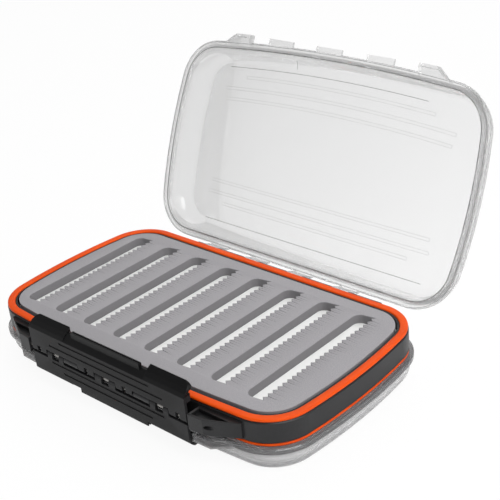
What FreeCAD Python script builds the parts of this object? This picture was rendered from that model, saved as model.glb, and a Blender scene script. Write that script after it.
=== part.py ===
import FreeCAD, Part
import Sketcher
import math
import os

# Two-sided fly box: a central body with a slit foam pad on both faces, a clear domed lid over
# each pad, one hinge pin along the rear and two latch leaves on one pin along the front.
# Every piece is drawn about the box's middle plane, which is the origin of its own sketches.
# Its placement then lifts it, turns it over for the lower half, or swings the upper lid open.

SIZES = [
    # Outline that all layers follow, on the seal's mid-line
    ("half_length", 86.0, "middle to end arc"),
    ("half_width", 46.5, "middle to front arc and to the straight rear"),
    ("corner_radius", 17.6, "outline corners"),
    ("end_arc_radius", 250.0, "bow of both ends"),
    ("front_arc_radius", 850.0, "bow of the front"),
    # Seals
    ("seal_half_width", 1.7, "half the width of a seal"),
    ("seal_height", 1.4, "seal between body and lid"),
    ("seal_bevel", 0.6, "edges of a seal"),
    # Central body
    ("body_half_height", 4.7, "middle plane to the seal's seat"),
    ("body_ledge", 0.2, "body wall outside the seal"),
    ("body_bevel", 0.5, "outer edges of the body"),
    ("lip_clearance", 0.1, "seal to the lip inside it"),
    ("lip_thickness", 0.9, "lip that holds the seal"),
    ("lip_height", 0.8, "lip above the seal's seat"),
    ("web_thickness", 1.2, "floor between the two pads"),
    # Foam pads
    ("foam_clearance", 0.3, "pad to the lip"),
    ("foam_base_thickness", 1.3, "white layer under the slit foam"),
    ("foam_thickness", 4.2, "slit foam"),
    ("slot_count", 8, "slots in a pad"),
    ("slot_margin_left", 8.45, "pad's left end to the first slot"),
    ("slot_margin_right", 14.2, "last slot to the pad's right end"),
    ("slot_margin_front", 9.4, "pad's front edge to the slots"),
    ("slot_margin_rear", 6.5, "slots to the pad's rear edge"),
    ("slot_width", 7.45, "slot without its teeth"),
    ("slot_corner_radius", 3.6, "rounded corners on the plain side"),
    ("slot_end_rise", 0.8, "slope of both slot ends"),
    ("tooth_depth", 1.7, "teeth along one side of a slot"),
    ("tooth_count", 25, "teeth along a slot"),
    # Lids
    ("lid_height", 13.0, "rim to the top of the dome"),
    ("lid_wall", 2.0, "side wall of the dome"),
    ("lid_ceiling", 1.7, "top of the dome"),
    ("lid_rounding", 8.0, "outer rounding of the dome"),
    ("dome_ledge", 0.5, "dome wall outside the seal"),
    ("rim_ledge", 2.0, "rim outside the seal"),
    ("rim_thickness", 2.4, "rim of the lid"),
    ("rim_bevel", 0.4, "outer edges of the rim"),
    ("open_angle", 114, "upper lid as shown"),
    ("strip_width", 1.4, "raised strips inside the dome"),
    ("strip_height", 0.3, "raised strips inside the dome"),
    # Hinge
    ("hinge_reach", 6.0, "rear outline to the hinge axis"),
    ("hinge_pin_radius", 1.1, "hinge pin"),
    ("hinge_barrel_radius", 2.45, "knuckles round the hinge pin"),
    ("hinge_shift", 3.675, "middle of the hinge to the right of the box's middle"),
    ("hinge_pitch", 13.25, "one lid knuckle to the next"),
    ("hinge_knuckles", 4, "knuckles of each lid"),
    ("lid_knuckle_width", 9.4, "knuckle of a lid"),
    ("knuckle_gap", 0.2, "side clearance of a knuckle"),
    ("arm_thickness", 1.0, "lid arm behind the rim"),
    ("arm_step", 0.6, "bend of the lid arm above the rim's lower face"),
    ("arm_drop", 0.05, "lid arm below the rim's upper face"),
    ("bore_clearance", 0.05, "pin to its bore"),
    ("pin_bevel", 0.25, "ends of both pins"),
    # Latch
    ("latch_reach", 5.7, "front outline to the latch axis"),
    ("latch_pin_radius", 0.9, "latch pin"),
    ("latch_pin_half_length", 53.0, "half the latch pin"),
    ("latch_barrel_radius", 1.65, "knuckles round the latch pin"),
    ("latch_shift", 0.9, "middle of the latch to the right of the box's middle"),
    ("leaf_half_length", 46.9, "half a latch leaf"),
    ("leaf_face", 1.7, "latch axis to the leaf's outer face"),
    ("leaf_thickness", 1.2, "plate of a leaf"),
    ("leaf_start", 1.9, "latch axis to the edge of the plate"),
    ("leaf_face_height", 10.0, "latch axis to the leaf's shoulder"),
    ("leaf_height", 14.6, "latch axis to the top of the hooks"),
    ("hook_reach", 3.5, "latch axis to the hook's inner tip"),
    ("hook_tip_height", 1.9, "hook at its tip"),
    ("hook_rise", 4.8, "rim's lower face to the underside of hooks and sill"),
    ("catch_gap", 0.2, "catch bar to the lid's tabs"),
    ("ear_start", 24.4, "middle to the inner end of a hook"),
    ("ear_rounding", 3.4, "outer corners of the hooks"),
    ("lip_half_length", 20.6, "half the finger lip"),
    ("lip_top_width", 1.6, "top of the finger lip"),
    ("lip_groove_width", 0.5, "groove along the finger lip"),
    ("lip_inset", 2.2, "finger lip behind the leaf's face"),
    ("sill_slope", 3.0, "outer slope of the sill between the hooks"),
    ("sill_reach", 4.2, "leaf's face to the inner edge of the sill"),
    ("sill_rise", 2.7, "sill above the leaf's shoulder"),
    ("groove_width", 1.0, "grooves across a leaf's face"),
    ("groove_depth", 0.3, "grooves across a leaf's face"),
    ("groove_half_length", 34.3, "half the groove nearer the pin"),
    ("short_groove_half_length", 27.2, "half the groove nearer the hooks"),
    ("upper_groove_height", 5.0, "latch axis to the upper leaf's long groove"),
    ("lower_groove_height", 3.3, "latch axis to the lower leaf's long groove"),
    ("groove_pitch", 3.3, "long groove to short groove"),
    # Knuckles on the latch pin, from the middle outwards, and the slits over them
    ("middle_knuckle_end", 6.4, "middle to the end of the lower leaf's middle knuckle"),
    ("inner_knuckle_end", 16.8, "middle to the end of the upper leaf's inner knuckle"),
    ("lug_knuckle_end", 26.2, "middle to the end of the body's lug"),
    ("outer_knuckle_end", 37.0, "middle to the end of the lower leaf's outer knuckle"),
    ("latch_gap", 0.2, "side clearance of a latch knuckle"),
    ("upper_slit_width", 2.2, "slit over the upper leaf's knuckles"),
    ("lower_slit_width", 4.4, "slit over the lower leaf's knuckles"),
    # Tabs and blocks that the latch closes over
    ("tab_height", 1.2, "tab above the rim's lower face"),
    ("tab_half_length", 7.3, "half a tab"),
    ("tab_pitch", 28.6, "one tab to the next"),
    ("tab_gap", 0.3, "tab to the leaf's plate"),
    ("end_gap", 0.5, "leaf to the block at its right end"),
    ("block_flat", 9.0, "lid block before its ramp"),
    ("block_ramp", 7.0, "ramp of a lid block"),
    ("block_height", 3.6, "lid block above the rim's lower face"),
    ("body_ear_flat", 7.2, "body ear before its ramp"),
    ("body_ear_ramp", 13.5, "ramp of a body ear"),
    ("body_ear_reach", 1.6, "latch axis to the face of a body ear"),
    ("body_ear_half_height", 3.4, "half a body ear"),
    ("body_ear_wall", 1.1, "wall round the pocket of a body ear"),
    ("body_ear_solid_end", 4.5, "end of a body ear beyond its pocket"),
    ("cut_overrun", 1.0, "cuts that run past a face"),
]

doc = FreeCAD.newDocument("fly_box")
sheet = doc.addObject("Spreadsheet::Sheet", "sizes")
for row, (alias, size, note) in enumerate(SIZES, start=1):
    sheet.set(f"A{row}", note)
    sheet.set(f"B{row}", str(size))
    sheet.setAlias(f"B{row}", alias)
doc.recompute()

SAME_PLACE = 1e-4  # geometry this close together is at the same level

# Levels above the middle plane
SEAT_LEVEL = "sizes.body_half_height"
RIM_LEVEL = "(sizes.body_half_height + sizes.seal_height)"
CEILING_LEVEL = f"({RIM_LEVEL} + sizes.lid_height - sizes.lid_ceiling)"
MIDDLE_HEIGHT = f"({RIM_LEVEL} + sizes.lid_height)"
BASE_LEVEL = "(sizes.web_thickness / 2)"
FOAM_LEVEL = f"({BASE_LEVEL} + sizes.foam_base_thickness)"
# Offsets from the seal's mid-line
BODY_OUTER = "(sizes.seal_half_width + sizes.body_ledge)"
LIP_OUTER = "(-sizes.seal_half_width - sizes.lip_clearance)"
BODY_INNER = f"({LIP_OUTER} - sizes.lip_thickness)"
PAD_EDGE = f"({BODY_INNER} - sizes.foam_clearance)"
RIM_OUTER = "(sizes.seal_half_width + sizes.rim_ledge)"
DOME_OUTER = "(sizes.seal_half_width + sizes.dome_ledge)"
DOME_INNER = f"({DOME_OUTER} - sizes.lid_wall)"
# Axes and widths
HINGE_Y = "(sizes.half_width + sizes.hinge_reach)"
LATCH_Y = "(-sizes.half_width - sizes.latch_reach)"
HINGE_BORE = "(sizes.hinge_pin_radius + sizes.bore_clearance)"
LATCH_BORE = "(sizes.latch_pin_radius + sizes.bore_clearance)"
BODY_KNUCKLE_WIDTH = "(sizes.hinge_pitch - sizes.lid_knuckle_width - 2 * sizes.knuckle_gap)"
HINGE_START = f"(sizes.hinge_shift - sizes.hinge_knuckles * sizes.hinge_pitch - {BODY_KNUCKLE_WIDTH} / 2)"
TAB_FACE = f"({LATCH_Y} - sizes.leaf_face + sizes.leaf_thickness + sizes.tab_gap)"
HOOK_LEVEL = f"({RIM_LEVEL} + sizes.hook_rise)"
CATCH_LEVEL = f"({RIM_LEVEL} + sizes.tab_height + sizes.catch_gap)"
BLOCK_START = "(sizes.leaf_half_length + sizes.latch_shift + sizes.end_gap)"


def number(expression):
    """The value of an expression of the named sizes."""
    return float(sheet.evalExpression(expression))


def origin_feature(body, role):
    return [item for item in body.Origin.OriginFeatures if item.Role == role][0]


def new_body(label):
    body = doc.addObject("PartDesign::Body", label)
    body.Label = label
    return body


def new_sketch(body, name, plane, level):
    """A sketch on one of the body's own planes, moved along that plane's normal."""
    sketch = body.newObject("Sketcher::SketchObject", name)
    sketch.AttachmentSupport = [(origin_feature(body, plane), "")]
    sketch.MapMode = "FlatFace"
    sketch.setExpression("AttachmentOffset.Base.z", level)
    return sketch


def bind(sketch, constraint, expression):
    """Adds a constraint whose value follows the named sizes."""
    index = sketch.addConstraint(constraint)
    sketch.setExpression(f"Constraints[{index}]", expression)


def place_point(sketch, edge, end, across, up):
    """Fixes an edge's end at a distance across and up from the sketch's origin."""
    bind(sketch, Sketcher.Constraint("DistanceX", -1, 1, edge, end, number(across)), across)
    bind(sketch, Sketcher.Constraint("DistanceY", -1, 1, edge, end, number(up)), up)


def polygon_sketch(body, name, plane, points, level="0"):
    """A closed polygon. Each point is a pair of expressions."""
    sketch = new_sketch(body, name, plane, level)
    corners = [FreeCAD.Vector(number(across), number(up), 0) for across, up in points]
    count = len(corners)
    for index in range(count):
        sketch.addGeometry(Part.LineSegment(corners[index], corners[(index + 1) % count]), False)
    for index in range(count):
        sketch.addConstraint(Sketcher.Constraint("Coincident", index, 2, (index + 1) % count, 1))
    for index, (across, up) in enumerate(points):
        place_point(sketch, index, 1, across, up)
    return sketch


def rectangle(left, right, low, high):
    return [(left, low), (right, low), (right, high), (left, high)]


def circle_sketch(body, name, plane, across, up, radius, level="0"):
    sketch = new_sketch(body, name, plane, level)
    centre = FreeCAD.Vector(number(across), number(up), 0)
    sketch.addGeometry(Part.Circle(centre, FreeCAD.Vector(0, 0, 1), number(radius)), False)
    bind(sketch, Sketcher.Constraint("Radius", 0, number(radius)), radius)
    place_point(sketch, 0, 3, across, up)
    return sketch


def arc_between(centre, start, end):
    """The counter-clockwise arc about a centre from one point to another."""
    first = math.atan2(start.y - centre.y, start.x - centre.x)
    last = math.atan2(end.y - centre.y, end.x - centre.x)
    if last < first:
        last += 2 * math.pi
    circle = Part.Circle(centre, FreeCAD.Vector(0, 0, 1), (start - centre).Length)
    return Part.ArcOfCircle(circle, first, last)


def mirrored_point(point):
    return FreeCAD.Vector(-point.x, point.y, 0)


def toward(start, through, distance):
    """The point at a distance from the start, on the line through a second point."""
    direction = through - start
    return start + direction * (distance / direction.Length)


def outline_centres():
    """Centres of the right end arc, the front arc and the right-hand corners."""
    end_radius = number("sizes.end_arc_radius")
    front_radius = number("sizes.front_arc_radius")
    end_reach = end_radius - number("sizes.corner_radius")
    front_reach = front_radius - number("sizes.corner_radius")
    end_centre = FreeCAD.Vector(number("sizes.half_length") - end_radius, 0, 0)
    front_centre = FreeCAD.Vector(0, front_radius - number("sizes.half_width"), 0)
    rear_y = number("sizes.half_width - sizes.corner_radius")
    rear_x = end_centre.x + math.sqrt(end_reach ** 2 - rear_y ** 2)
    apart = (front_centre - end_centre).Length
    along = (end_reach ** 2 - front_reach ** 2 + apart ** 2) / (2 * apart)
    across = math.sqrt(end_reach ** 2 - along ** 2)
    direction = (front_centre - end_centre) / apart
    sideways = FreeCAD.Vector(direction.y, -direction.x, 0)
    front_corner = end_centre + direction * along + sideways * across
    return end_centre, front_centre, FreeCAD.Vector(rear_x, rear_y, 0), front_corner


def outline_sketch(body, name, offset, level):
    """The box's outline moved outwards by an offset: a straight rear, bowed front and ends."""
    sketch = new_sketch(body, name, "XY_Plane", level)
    end_centre, front_centre, rear_corner, front_corner = outline_centres()
    end_radius = f"(sizes.end_arc_radius + {offset})"
    front_radius = f"(sizes.front_arc_radius + {offset})"
    corner_radius = f"(sizes.corner_radius + {offset})"
    rear_y = f"(sizes.half_width + {offset})"
    front_end = toward(end_centre, front_corner, number(end_radius))
    rear_end = toward(end_centre, rear_corner, number(end_radius))
    rear_top = FreeCAD.Vector(rear_corner.x, number(rear_y), 0)
    front_low = toward(front_centre, front_corner, number(front_radius))
    left_front_end = mirrored_point(front_end)
    left_rear_end = mirrored_point(rear_end)
    left_rear_top = mirrored_point(rear_top)
    left_front_low = mirrored_point(front_low)
    edges = [
        arc_between(end_centre, front_end, rear_end),
        arc_between(rear_corner, rear_end, rear_top),
        Part.LineSegment(rear_top, left_rear_top),
        arc_between(mirrored_point(rear_corner), left_rear_top, left_rear_end),
        arc_between(mirrored_point(end_centre), left_rear_end, left_front_end),
        arc_between(mirrored_point(front_corner), left_front_end, left_front_low),
        arc_between(front_centre, left_front_low, front_low),
        arc_between(front_corner, front_low, front_end),
    ]
    radii = [end_radius, corner_radius, None, corner_radius,
             end_radius, corner_radius, front_radius, corner_radius]
    right_end, rear_line, left_end, front_arc = 0, 2, 4, 6
    sketch.addGeometry(edges, False)
    for index in range(len(edges)):
        sketch.addConstraint(Sketcher.Constraint("Tangent", index, 2, (index + 1) % len(edges), 1))
    for index, radius in enumerate(radii):
        if radius:
            bind(sketch, Sketcher.Constraint("Radius", index, number(radius)), radius)
    sketch.addConstraint(Sketcher.Constraint("PointOnObject", right_end, 3, -1))
    sketch.addConstraint(Sketcher.Constraint("PointOnObject", left_end, 3, -1))
    sketch.addConstraint(Sketcher.Constraint("PointOnObject", front_arc, 3, -2))
    sketch.addConstraint(Sketcher.Constraint("Horizontal", rear_line))
    end_inset = "sizes.end_arc_radius - sizes.half_length"
    front_inset = "sizes.front_arc_radius - sizes.half_width"
    bind(sketch, Sketcher.Constraint("DistanceX", right_end, 3, -1, 1, number(end_inset)), end_inset)
    bind(sketch, Sketcher.Constraint("DistanceX", -1, 1, left_end, 3, number(end_inset)), end_inset)
    bind(sketch, Sketcher.Constraint("DistanceY", -1, 1, front_arc, 3, number(front_inset)), front_inset)
    bind(sketch, Sketcher.Constraint("DistanceY", -1, 1, rear_line, 1, number(rear_y)), rear_y)
    return sketch


def pad(body, name, sketch, length, direction="up"):
    """Adds material from a sketch: up its normal, down, or to both sides of it."""
    feature = body.newObject("PartDesign::Pad", name)
    feature.Profile = sketch
    feature.setExpression("Length", length)
    feature.Reversed = direction == "down"
    if direction == "both":
        feature.SideType = "Symmetric"
    return feature


def pocket(body, name, sketch, length, direction="down"):
    """Removes material from a sketch: up its normal, down, or to both sides of it."""
    feature = body.newObject("PartDesign::Pocket", name)
    feature.Profile = sketch
    feature.setExpression("Length", length)
    feature.Reversed = direction == "up"
    if direction == "both":
        feature.SideType = "Symmetric"
    return feature


def chosen_edges(base, chosen):
    return [f"Edge{index}" for index, edge in enumerate(base.Shape.Edges, start=1) if chosen(edge)]


def fillet(body, name, base, radius, chosen):
    """Rounds the edges of the base feature that the test chooses."""
    doc.recompute()
    feature = body.newObject("PartDesign::Fillet", name)
    feature.Base = (base, chosen_edges(base, chosen))
    feature.setExpression("Radius", radius)
    return feature


def bevel(body, name, base, size, chosen):
    """Bevels the edges of the base feature that the test chooses."""
    doc.recompute()
    feature = body.newObject("PartDesign::Chamfer", name)
    feature.Base = (base, chosen_edges(base, chosen))
    feature.setExpression("Size", size)
    return feature


def at_level(*levels):
    """A test for flat edges at one of the levels."""
    heights = [number(level) for level in levels]

    def chosen(edge):
        box = edge.BoundBox
        return any(abs(box.ZMin - height) < SAME_PLACE and abs(box.ZMax - height) < SAME_PLACE
                   for height in heights)
    return chosen


def mirrored(body, name, features):
    """Repeats features on the other side of the box's left-right middle."""
    feature = body.newObject("PartDesign::Mirrored", name)
    feature.Originals = features
    feature.MirrorPlane = (origin_feature(body, "YZ_Plane"), [""])
    body.Tip = feature
    return feature


def row_along_length(body, name, features, length, count):
    """Repeats features along the box's length."""
    feature = body.newObject("PartDesign::LinearPattern", name)
    feature.Originals = features
    feature.Direction = (origin_feature(body, "X_Axis"), [""])
    feature.setExpression("Length", length)
    feature.setExpression("Occurrences", count)
    body.Tip = feature
    return feature


def lift(body):
    """Places a piece of the upper half."""
    body.setExpression("Placement.Base.z", MIDDLE_HEIGHT)


def turn_over(body):
    """Places a piece of the lower half, which is turned about the box's depth axis."""
    half_turn = 180
    body.Placement = FreeCAD.Placement(FreeCAD.Vector(),
                                       FreeCAD.Rotation(FreeCAD.Vector(0, 1, 0), half_turn))
    body.setExpression("Placement.Base.z", MIDDLE_HEIGHT)


def lift_latch(body):
    """Places the upper leaf, which stands a little to the right."""
    lift(body)
    body.setExpression("Placement.Base.x", "sizes.latch_shift")


def turn_latch_over(body):
    """Places the lower leaf, which hangs a little to the right."""
    turn_over(body)
    body.setExpression("Placement.Base.x", "sizes.latch_shift")


def swing_open(body):
    """Places the upper lid, turned back about the hinge axis."""
    body.setExpression("Placement", f"placement(vector(0; 0; {MIDDLE_HEIGHT}); "
                       f"rotation(vector(1; 0; 0); -sizes.open_angle); vector(0; {HINGE_Y}; 0))")


def knuckle(body, name, axis_y, radius, start, width):
    """One barrel round a pin along the box's length."""
    sketch = circle_sketch(body, f"{name}_circle", "YZ_Plane", axis_y, "0", radius, start)
    return pad(body, name, sketch, width)


def bore(body, name, axis_y, radius, half_length):
    """A straight bore for a pin along the box's length."""
    sketch = circle_sketch(body, f"{name}_circle", "YZ_Plane", axis_y, "0", radius)
    return pocket(body, name, sketch, f"2 * {half_length}", "both")


# Seals

def make_seal(label, place):
    """A flat ring that lies on the body's seat, its outer edge bevelled."""
    body = new_body(label)
    disc = pad(body, f"{label}_disc",
               outline_sketch(body, f"{label}_outer", "sizes.seal_half_width", SEAT_LEVEL),
               "sizes.seal_height")
    bevel(body, f"{label}_edge", disc, "sizes.seal_bevel", at_level(RIM_LEVEL))
    pocket(body, f"{label}_opening",
           outline_sketch(body, f"{label}_inner", "(-sizes.seal_half_width)", RIM_LEVEL),
           "sizes.seal_height + sizes.cut_overrun")
    place(body)
    return body


# Foam pads

def slot_sketch(body, name):
    """The first slot: rounded corners on its plain side, teeth along the other."""
    left = f"(-sizes.half_length - {PAD_EDGE} + sizes.slot_margin_left)"
    valley = f"({left} + sizes.slot_width)"
    crest = f"({valley} + sizes.tooth_depth)"
    front = f"(-sizes.half_width - {PAD_EDGE} + sizes.slot_margin_front)"
    rear = f"(sizes.half_width + {PAD_EDGE} - sizes.slot_margin_rear)"
    rear_corner = f"({rear} - sizes.slot_end_rise)"
    front_crest = f"({front} + sizes.slot_end_rise)"
    teeth = int(number("sizes.tooth_count"))
    half_pitch = number(f"({rear} - {front_crest}) / (2 * sizes.tooth_count)")
    radius = number("sizes.slot_corner_radius")

    rear_centre = FreeCAD.Vector(number(left) + radius, number(rear_corner) - radius, 0)
    front_centre = FreeCAD.Vector(number(left) + radius, number(front) + radius, 0)
    upward = FreeCAD.Vector(0, radius, 0)
    leftward = FreeCAD.Vector(-radius, 0, 0)
    zigzag = []
    for step in range(2 * teeth + 1):
        across = number(valley) if step % 2 else number(crest)
        zigzag.append(FreeCAD.Vector(across, number(rear) - step * half_pitch, 0))

    sketch = new_sketch(body, name, "XY_Plane", f"{FOAM_LEVEL} + sizes.foam_thickness")
    plain_side, rear_round, rear_end, first_tooth = 0, 1, 2, 3
    last_tooth = first_tooth + 2 * teeth - 1
    front_end = last_tooth + 1
    front_round = front_end + 1
    sketch.addGeometry([
        Part.LineSegment(front_centre + leftward, rear_centre + leftward),
        arc_between(rear_centre, rear_centre + upward, rear_centre + leftward),
        Part.LineSegment(rear_centre + upward, zigzag[0]),
    ], False)
    for start, end in zip(zigzag, zigzag[1:]):
        sketch.addGeometry(Part.LineSegment(start, end), False)
    sketch.addGeometry([
        Part.LineSegment(zigzag[-1], front_centre - upward),
        arc_between(front_centre, front_centre + leftward, front_centre - upward),
    ], False)

    sketch.addConstraint([
        Sketcher.Constraint("Tangent", plain_side, 2, rear_round, 2),
        Sketcher.Constraint("Coincident", rear_round, 1, rear_end, 1),
        Sketcher.Constraint("Vertical", rear_round, 1, rear_round, 3),
        Sketcher.Constraint("Coincident", rear_end, 2, first_tooth, 1),
        Sketcher.Constraint("Coincident", last_tooth, 2, front_end, 1),
        Sketcher.Constraint("Coincident", front_end, 2, front_round, 2),
        Sketcher.Constraint("Vertical", front_round, 2, front_round, 3),
        Sketcher.Constraint("Tangent", front_round, 1, plain_side, 1),
        Sketcher.Constraint("Vertical", plain_side),
        Sketcher.Constraint("Equal", rear_round, front_round),
    ])
    for edge in range(first_tooth, last_tooth):
        sketch.addConstraint(Sketcher.Constraint("Coincident", edge, 2, edge + 1, 1))
        sketch.addConstraint(Sketcher.Constraint("Equal", first_tooth, edge + 1))
    for edge in range(first_tooth + 1, last_tooth + 1):
        sketch.addConstraint(Sketcher.Constraint("Vertical", edge - 1, 1, edge, 2))
    place_point(sketch, first_tooth, 1, crest, rear)
    bind(sketch, Sketcher.Constraint("DistanceX", -1, 1, first_tooth, 2, number(valley)), valley)
    bind(sketch, Sketcher.Constraint("DistanceY", -1, 1, last_tooth, 2, number(front_crest)), front_crest)
    bind(sketch, Sketcher.Constraint("DistanceX", -1, 1, plain_side, 1, number(left)), left)
    bind(sketch, Sketcher.Constraint("DistanceY", -1, 1, rear_end, 1, number(rear_corner)), rear_corner)
    bind(sketch, Sketcher.Constraint("DistanceY", -1, 1, front_end, 2, number(front)), front)
    bind(sketch, Sketcher.Constraint("Radius", rear_round, radius), "sizes.slot_corner_radius")
    return sketch


def make_foam(label, place):
    """The slit foam: a pad with a row of toothed slots right through it."""
    body = new_body(label)
    pad(body, f"{label}_sheet", outline_sketch(body, f"{label}_outline", PAD_EDGE, FOAM_LEVEL),
        "sizes.foam_thickness")
    slot = pocket(body, f"{label}_slot", slot_sketch(body, f"{label}_slot_outline"),
                  "sizes.foam_thickness + sizes.cut_overrun")
    slot_span = (f"2 * (sizes.half_length + {PAD_EDGE}) - sizes.slot_margin_left"
                 " - sizes.slot_margin_right - sizes.slot_width - sizes.tooth_depth")
    row_along_length(body, f"{label}_slots", [slot], slot_span, "sizes.slot_count")
    place(body)
    return body


def make_foam_base(label, place):
    """The white layer that closes the slots below."""
    body = new_body(label)
    pad(body, f"{label}_sheet", outline_sketch(body, f"{label}_outline", PAD_EDGE, BASE_LEVEL),
        "sizes.foam_base_thickness")
    place(body)
    return body


# Central body

def make_centre_body():
    """Wall, lips and web of the body, with its hinge knuckles, latch lugs and ears."""
    body = new_body("centre_body")
    wall = pad(body, "wall", outline_sketch(body, "wall_outline", BODY_OUTER, "0"),
               "2 * sizes.body_half_height", "both")
    bevel(body, "wall_edges", wall, "sizes.body_bevel", at_level(SEAT_LEVEL, f"-{SEAT_LEVEL}"))
    pad(body, "lips", outline_sketch(body, "lip_outline", LIP_OUTER, "0"),
        "2 * (sizes.body_half_height + sizes.lip_height)", "both")
    tray_depth = f"{SEAT_LEVEL} + sizes.lip_height + sizes.cut_overrun - {BASE_LEVEL}"
    pocket(body, "upper_tray", outline_sketch(body, "upper_tray_outline", BODY_INNER, BASE_LEVEL),
           tray_depth, "up")
    pocket(body, "lower_tray", outline_sketch(body, "lower_tray_outline", BODY_INNER, f"-{BASE_LEVEL}"),
           tray_depth, "down")

    # Hinge knuckles along the rear
    inside_rear = f"sizes.half_width + {BODY_OUTER} - sizes.body_bevel"
    web = pad(body, "hinge_web", polygon_sketch(
        body, "hinge_web_outline", "YZ_Plane",
        rectangle(inside_rear, HINGE_Y, "-sizes.hinge_barrel_radius", "sizes.hinge_barrel_radius"),
        HINGE_START), BODY_KNUCKLE_WIDTH)
    barrel = knuckle(body, "hinge_knuckle", HINGE_Y, "sizes.hinge_barrel_radius", HINGE_START,
                     BODY_KNUCKLE_WIDTH)
    row_along_length(body, "hinge_row", [web, barrel],
                     "2 * sizes.hinge_knuckles * sizes.hinge_pitch", "2 * sizes.hinge_knuckles + 1")

    # Latch lugs and ears along the front
    lug_start = "(sizes.inner_knuckle_end + sizes.latch_gap)"
    lug_width = f"(sizes.lug_knuckle_end - sizes.latch_gap - {lug_start})"
    left_lug_start = f"sizes.latch_shift - {lug_start} - {lug_width}"
    inside_front = f"-sizes.half_width - {BODY_OUTER} + sizes.lip_thickness"
    lug_web = pad(body, "lug_web", polygon_sketch(
        body, "lug_web_outline", "YZ_Plane",
        rectangle(LATCH_Y, inside_front, "-sizes.latch_barrel_radius", "sizes.latch_barrel_radius"),
        left_lug_start), lug_width)
    lug = knuckle(body, "lug", LATCH_Y, "sizes.latch_barrel_radius", left_lug_start, lug_width)
    lug_pair = 2
    row_along_length(body, "lug_row", [lug_web, lug], f"2 * {lug_start} + {lug_width}", f"{lug_pair}")
    ear_face = f"({LATCH_Y} - sizes.body_ear_reach)"
    ear_corner = f"({BLOCK_START} + sizes.body_ear_flat)"
    ear_end = f"({ear_corner} + sizes.body_ear_ramp)"
    ear_root = "(-sizes.half_width)"
    ear_root_inner = f"({ear_root} + 2 * sizes.seal_half_width)"
    ear = pad(body, "ear", polygon_sketch(body, "ear_outline", "XY_Plane", [
        (BLOCK_START, ear_root_inner),
        (BLOCK_START, ear_face),
        (ear_corner, f"{ear_face} + sizes.body_bevel"),
        (ear_end, ear_root),
        (ear_end, ear_root_inner),
    ]), "2 * sizes.body_ear_half_height", "both")
    pocket_back = f"(-sizes.half_width - {BODY_OUTER})"
    pocket_outline = [
        (f"{BLOCK_START} + sizes.body_ear_wall", pocket_back),
        (f"{BLOCK_START} + sizes.body_ear_wall", f"{ear_face} + sizes.body_ear_wall"),
        (ear_corner, f"{ear_face} + sizes.body_bevel + sizes.body_ear_wall"),
        (f"{ear_end} - sizes.body_ear_solid_end", pocket_back),
    ]
    pocket_depth = "sizes.body_ear_half_height - sizes.latch_barrel_radius"
    above = pocket(body, "ear_pocket_above", polygon_sketch(
        body, "ear_pocket_above_outline", "XY_Plane", pocket_outline, "sizes.body_ear_half_height"),
        pocket_depth)
    below = pocket(body, "ear_pocket_below", polygon_sketch(
        body, "ear_pocket_below_outline", "XY_Plane", pocket_outline, "-sizes.body_ear_half_height"),
        pocket_depth, "up")
    mirrored(body, "ears", [ear])
    mirrored(body, "ear_pockets", [above, below])
    bore(body, "hinge_bore", HINGE_Y, HINGE_BORE, "sizes.half_length")
    bore(body, "latch_bore", LATCH_Y, LATCH_BORE, "sizes.half_length")
    lift(body)
    return body


# Lids

def curved_strip_sketch(body, name, offset, half_length):
    """A raised strip that follows the bowed front."""
    sketch = new_sketch(body, name, "XY_Plane", CEILING_LEVEL)
    centre = FreeCAD.Vector(0, number("sizes.front_arc_radius - sizes.half_width"), 0)
    inner_radius = f"(sizes.front_arc_radius - {offset} - sizes.strip_width / 2)"
    outer_radius = f"(sizes.front_arc_radius - {offset} + sizes.strip_width / 2)"
    ends = []
    for radius in (inner_radius, outer_radius):
        drop = math.sqrt(number(radius) ** 2 - number(half_length) ** 2)
        ends.append(centre + FreeCAD.Vector(-number(half_length), -drop, 0))
        ends.append(centre + FreeCAD.Vector(number(half_length), -drop, 0))
    inner_left, inner_right, outer_left, outer_right = ends
    sketch.addGeometry([
        arc_between(centre, outer_left, outer_right),
        Part.LineSegment(outer_right, inner_right),
        arc_between(centre, inner_left, inner_right),
        Part.LineSegment(inner_left, outer_left),
    ], False)
    sketch.addConstraint([
        Sketcher.Constraint("Coincident", 0, 2, 1, 1),
        Sketcher.Constraint("Coincident", 1, 2, 2, 2),
        Sketcher.Constraint("Coincident", 2, 1, 3, 1),
        Sketcher.Constraint("Coincident", 3, 2, 0, 1),
        Sketcher.Constraint("Coincident", 0, 3, 2, 3),
        Sketcher.Constraint("PointOnObject", 0, 3, -2),
        Sketcher.Constraint("Vertical", 1),
        Sketcher.Constraint("Vertical", 3),
    ])
    front_inset = "sizes.front_arc_radius - sizes.half_width"
    bind(sketch, Sketcher.Constraint("DistanceY", -1, 1, 0, 3, number(front_inset)), front_inset)
    bind(sketch, Sketcher.Constraint("Radius", 0, number(outer_radius)), outer_radius)
    bind(sketch, Sketcher.Constraint("Radius", 2, number(inner_radius)), inner_radius)
    bind(sketch, Sketcher.Constraint("DistanceX", -1, 1, 1, 1, number(half_length)), half_length)
    bind(sketch, Sketcher.Constraint("DistanceX", 3, 1, -1, 1, number(half_length)), half_length)
    return sketch


# Shares of the outline's half width or half length, for the strips inside a lid
STRIP_SHARES = [  # inset from the edge, half length
    (0.264, 0.64),
    (0.391, 0.78),
    (0.505, 0.77),
]
REAR_STRIP_SHARES = [
    (0.555, 0.76),
    (0.430, 0.77),
    (0.325, 0.65),
]


# Where the back of a hinge arm meets its knuckle: shares of the knuckle's radius
ARM_TANGENT_SHARES = (0.84, 0.54)


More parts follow.
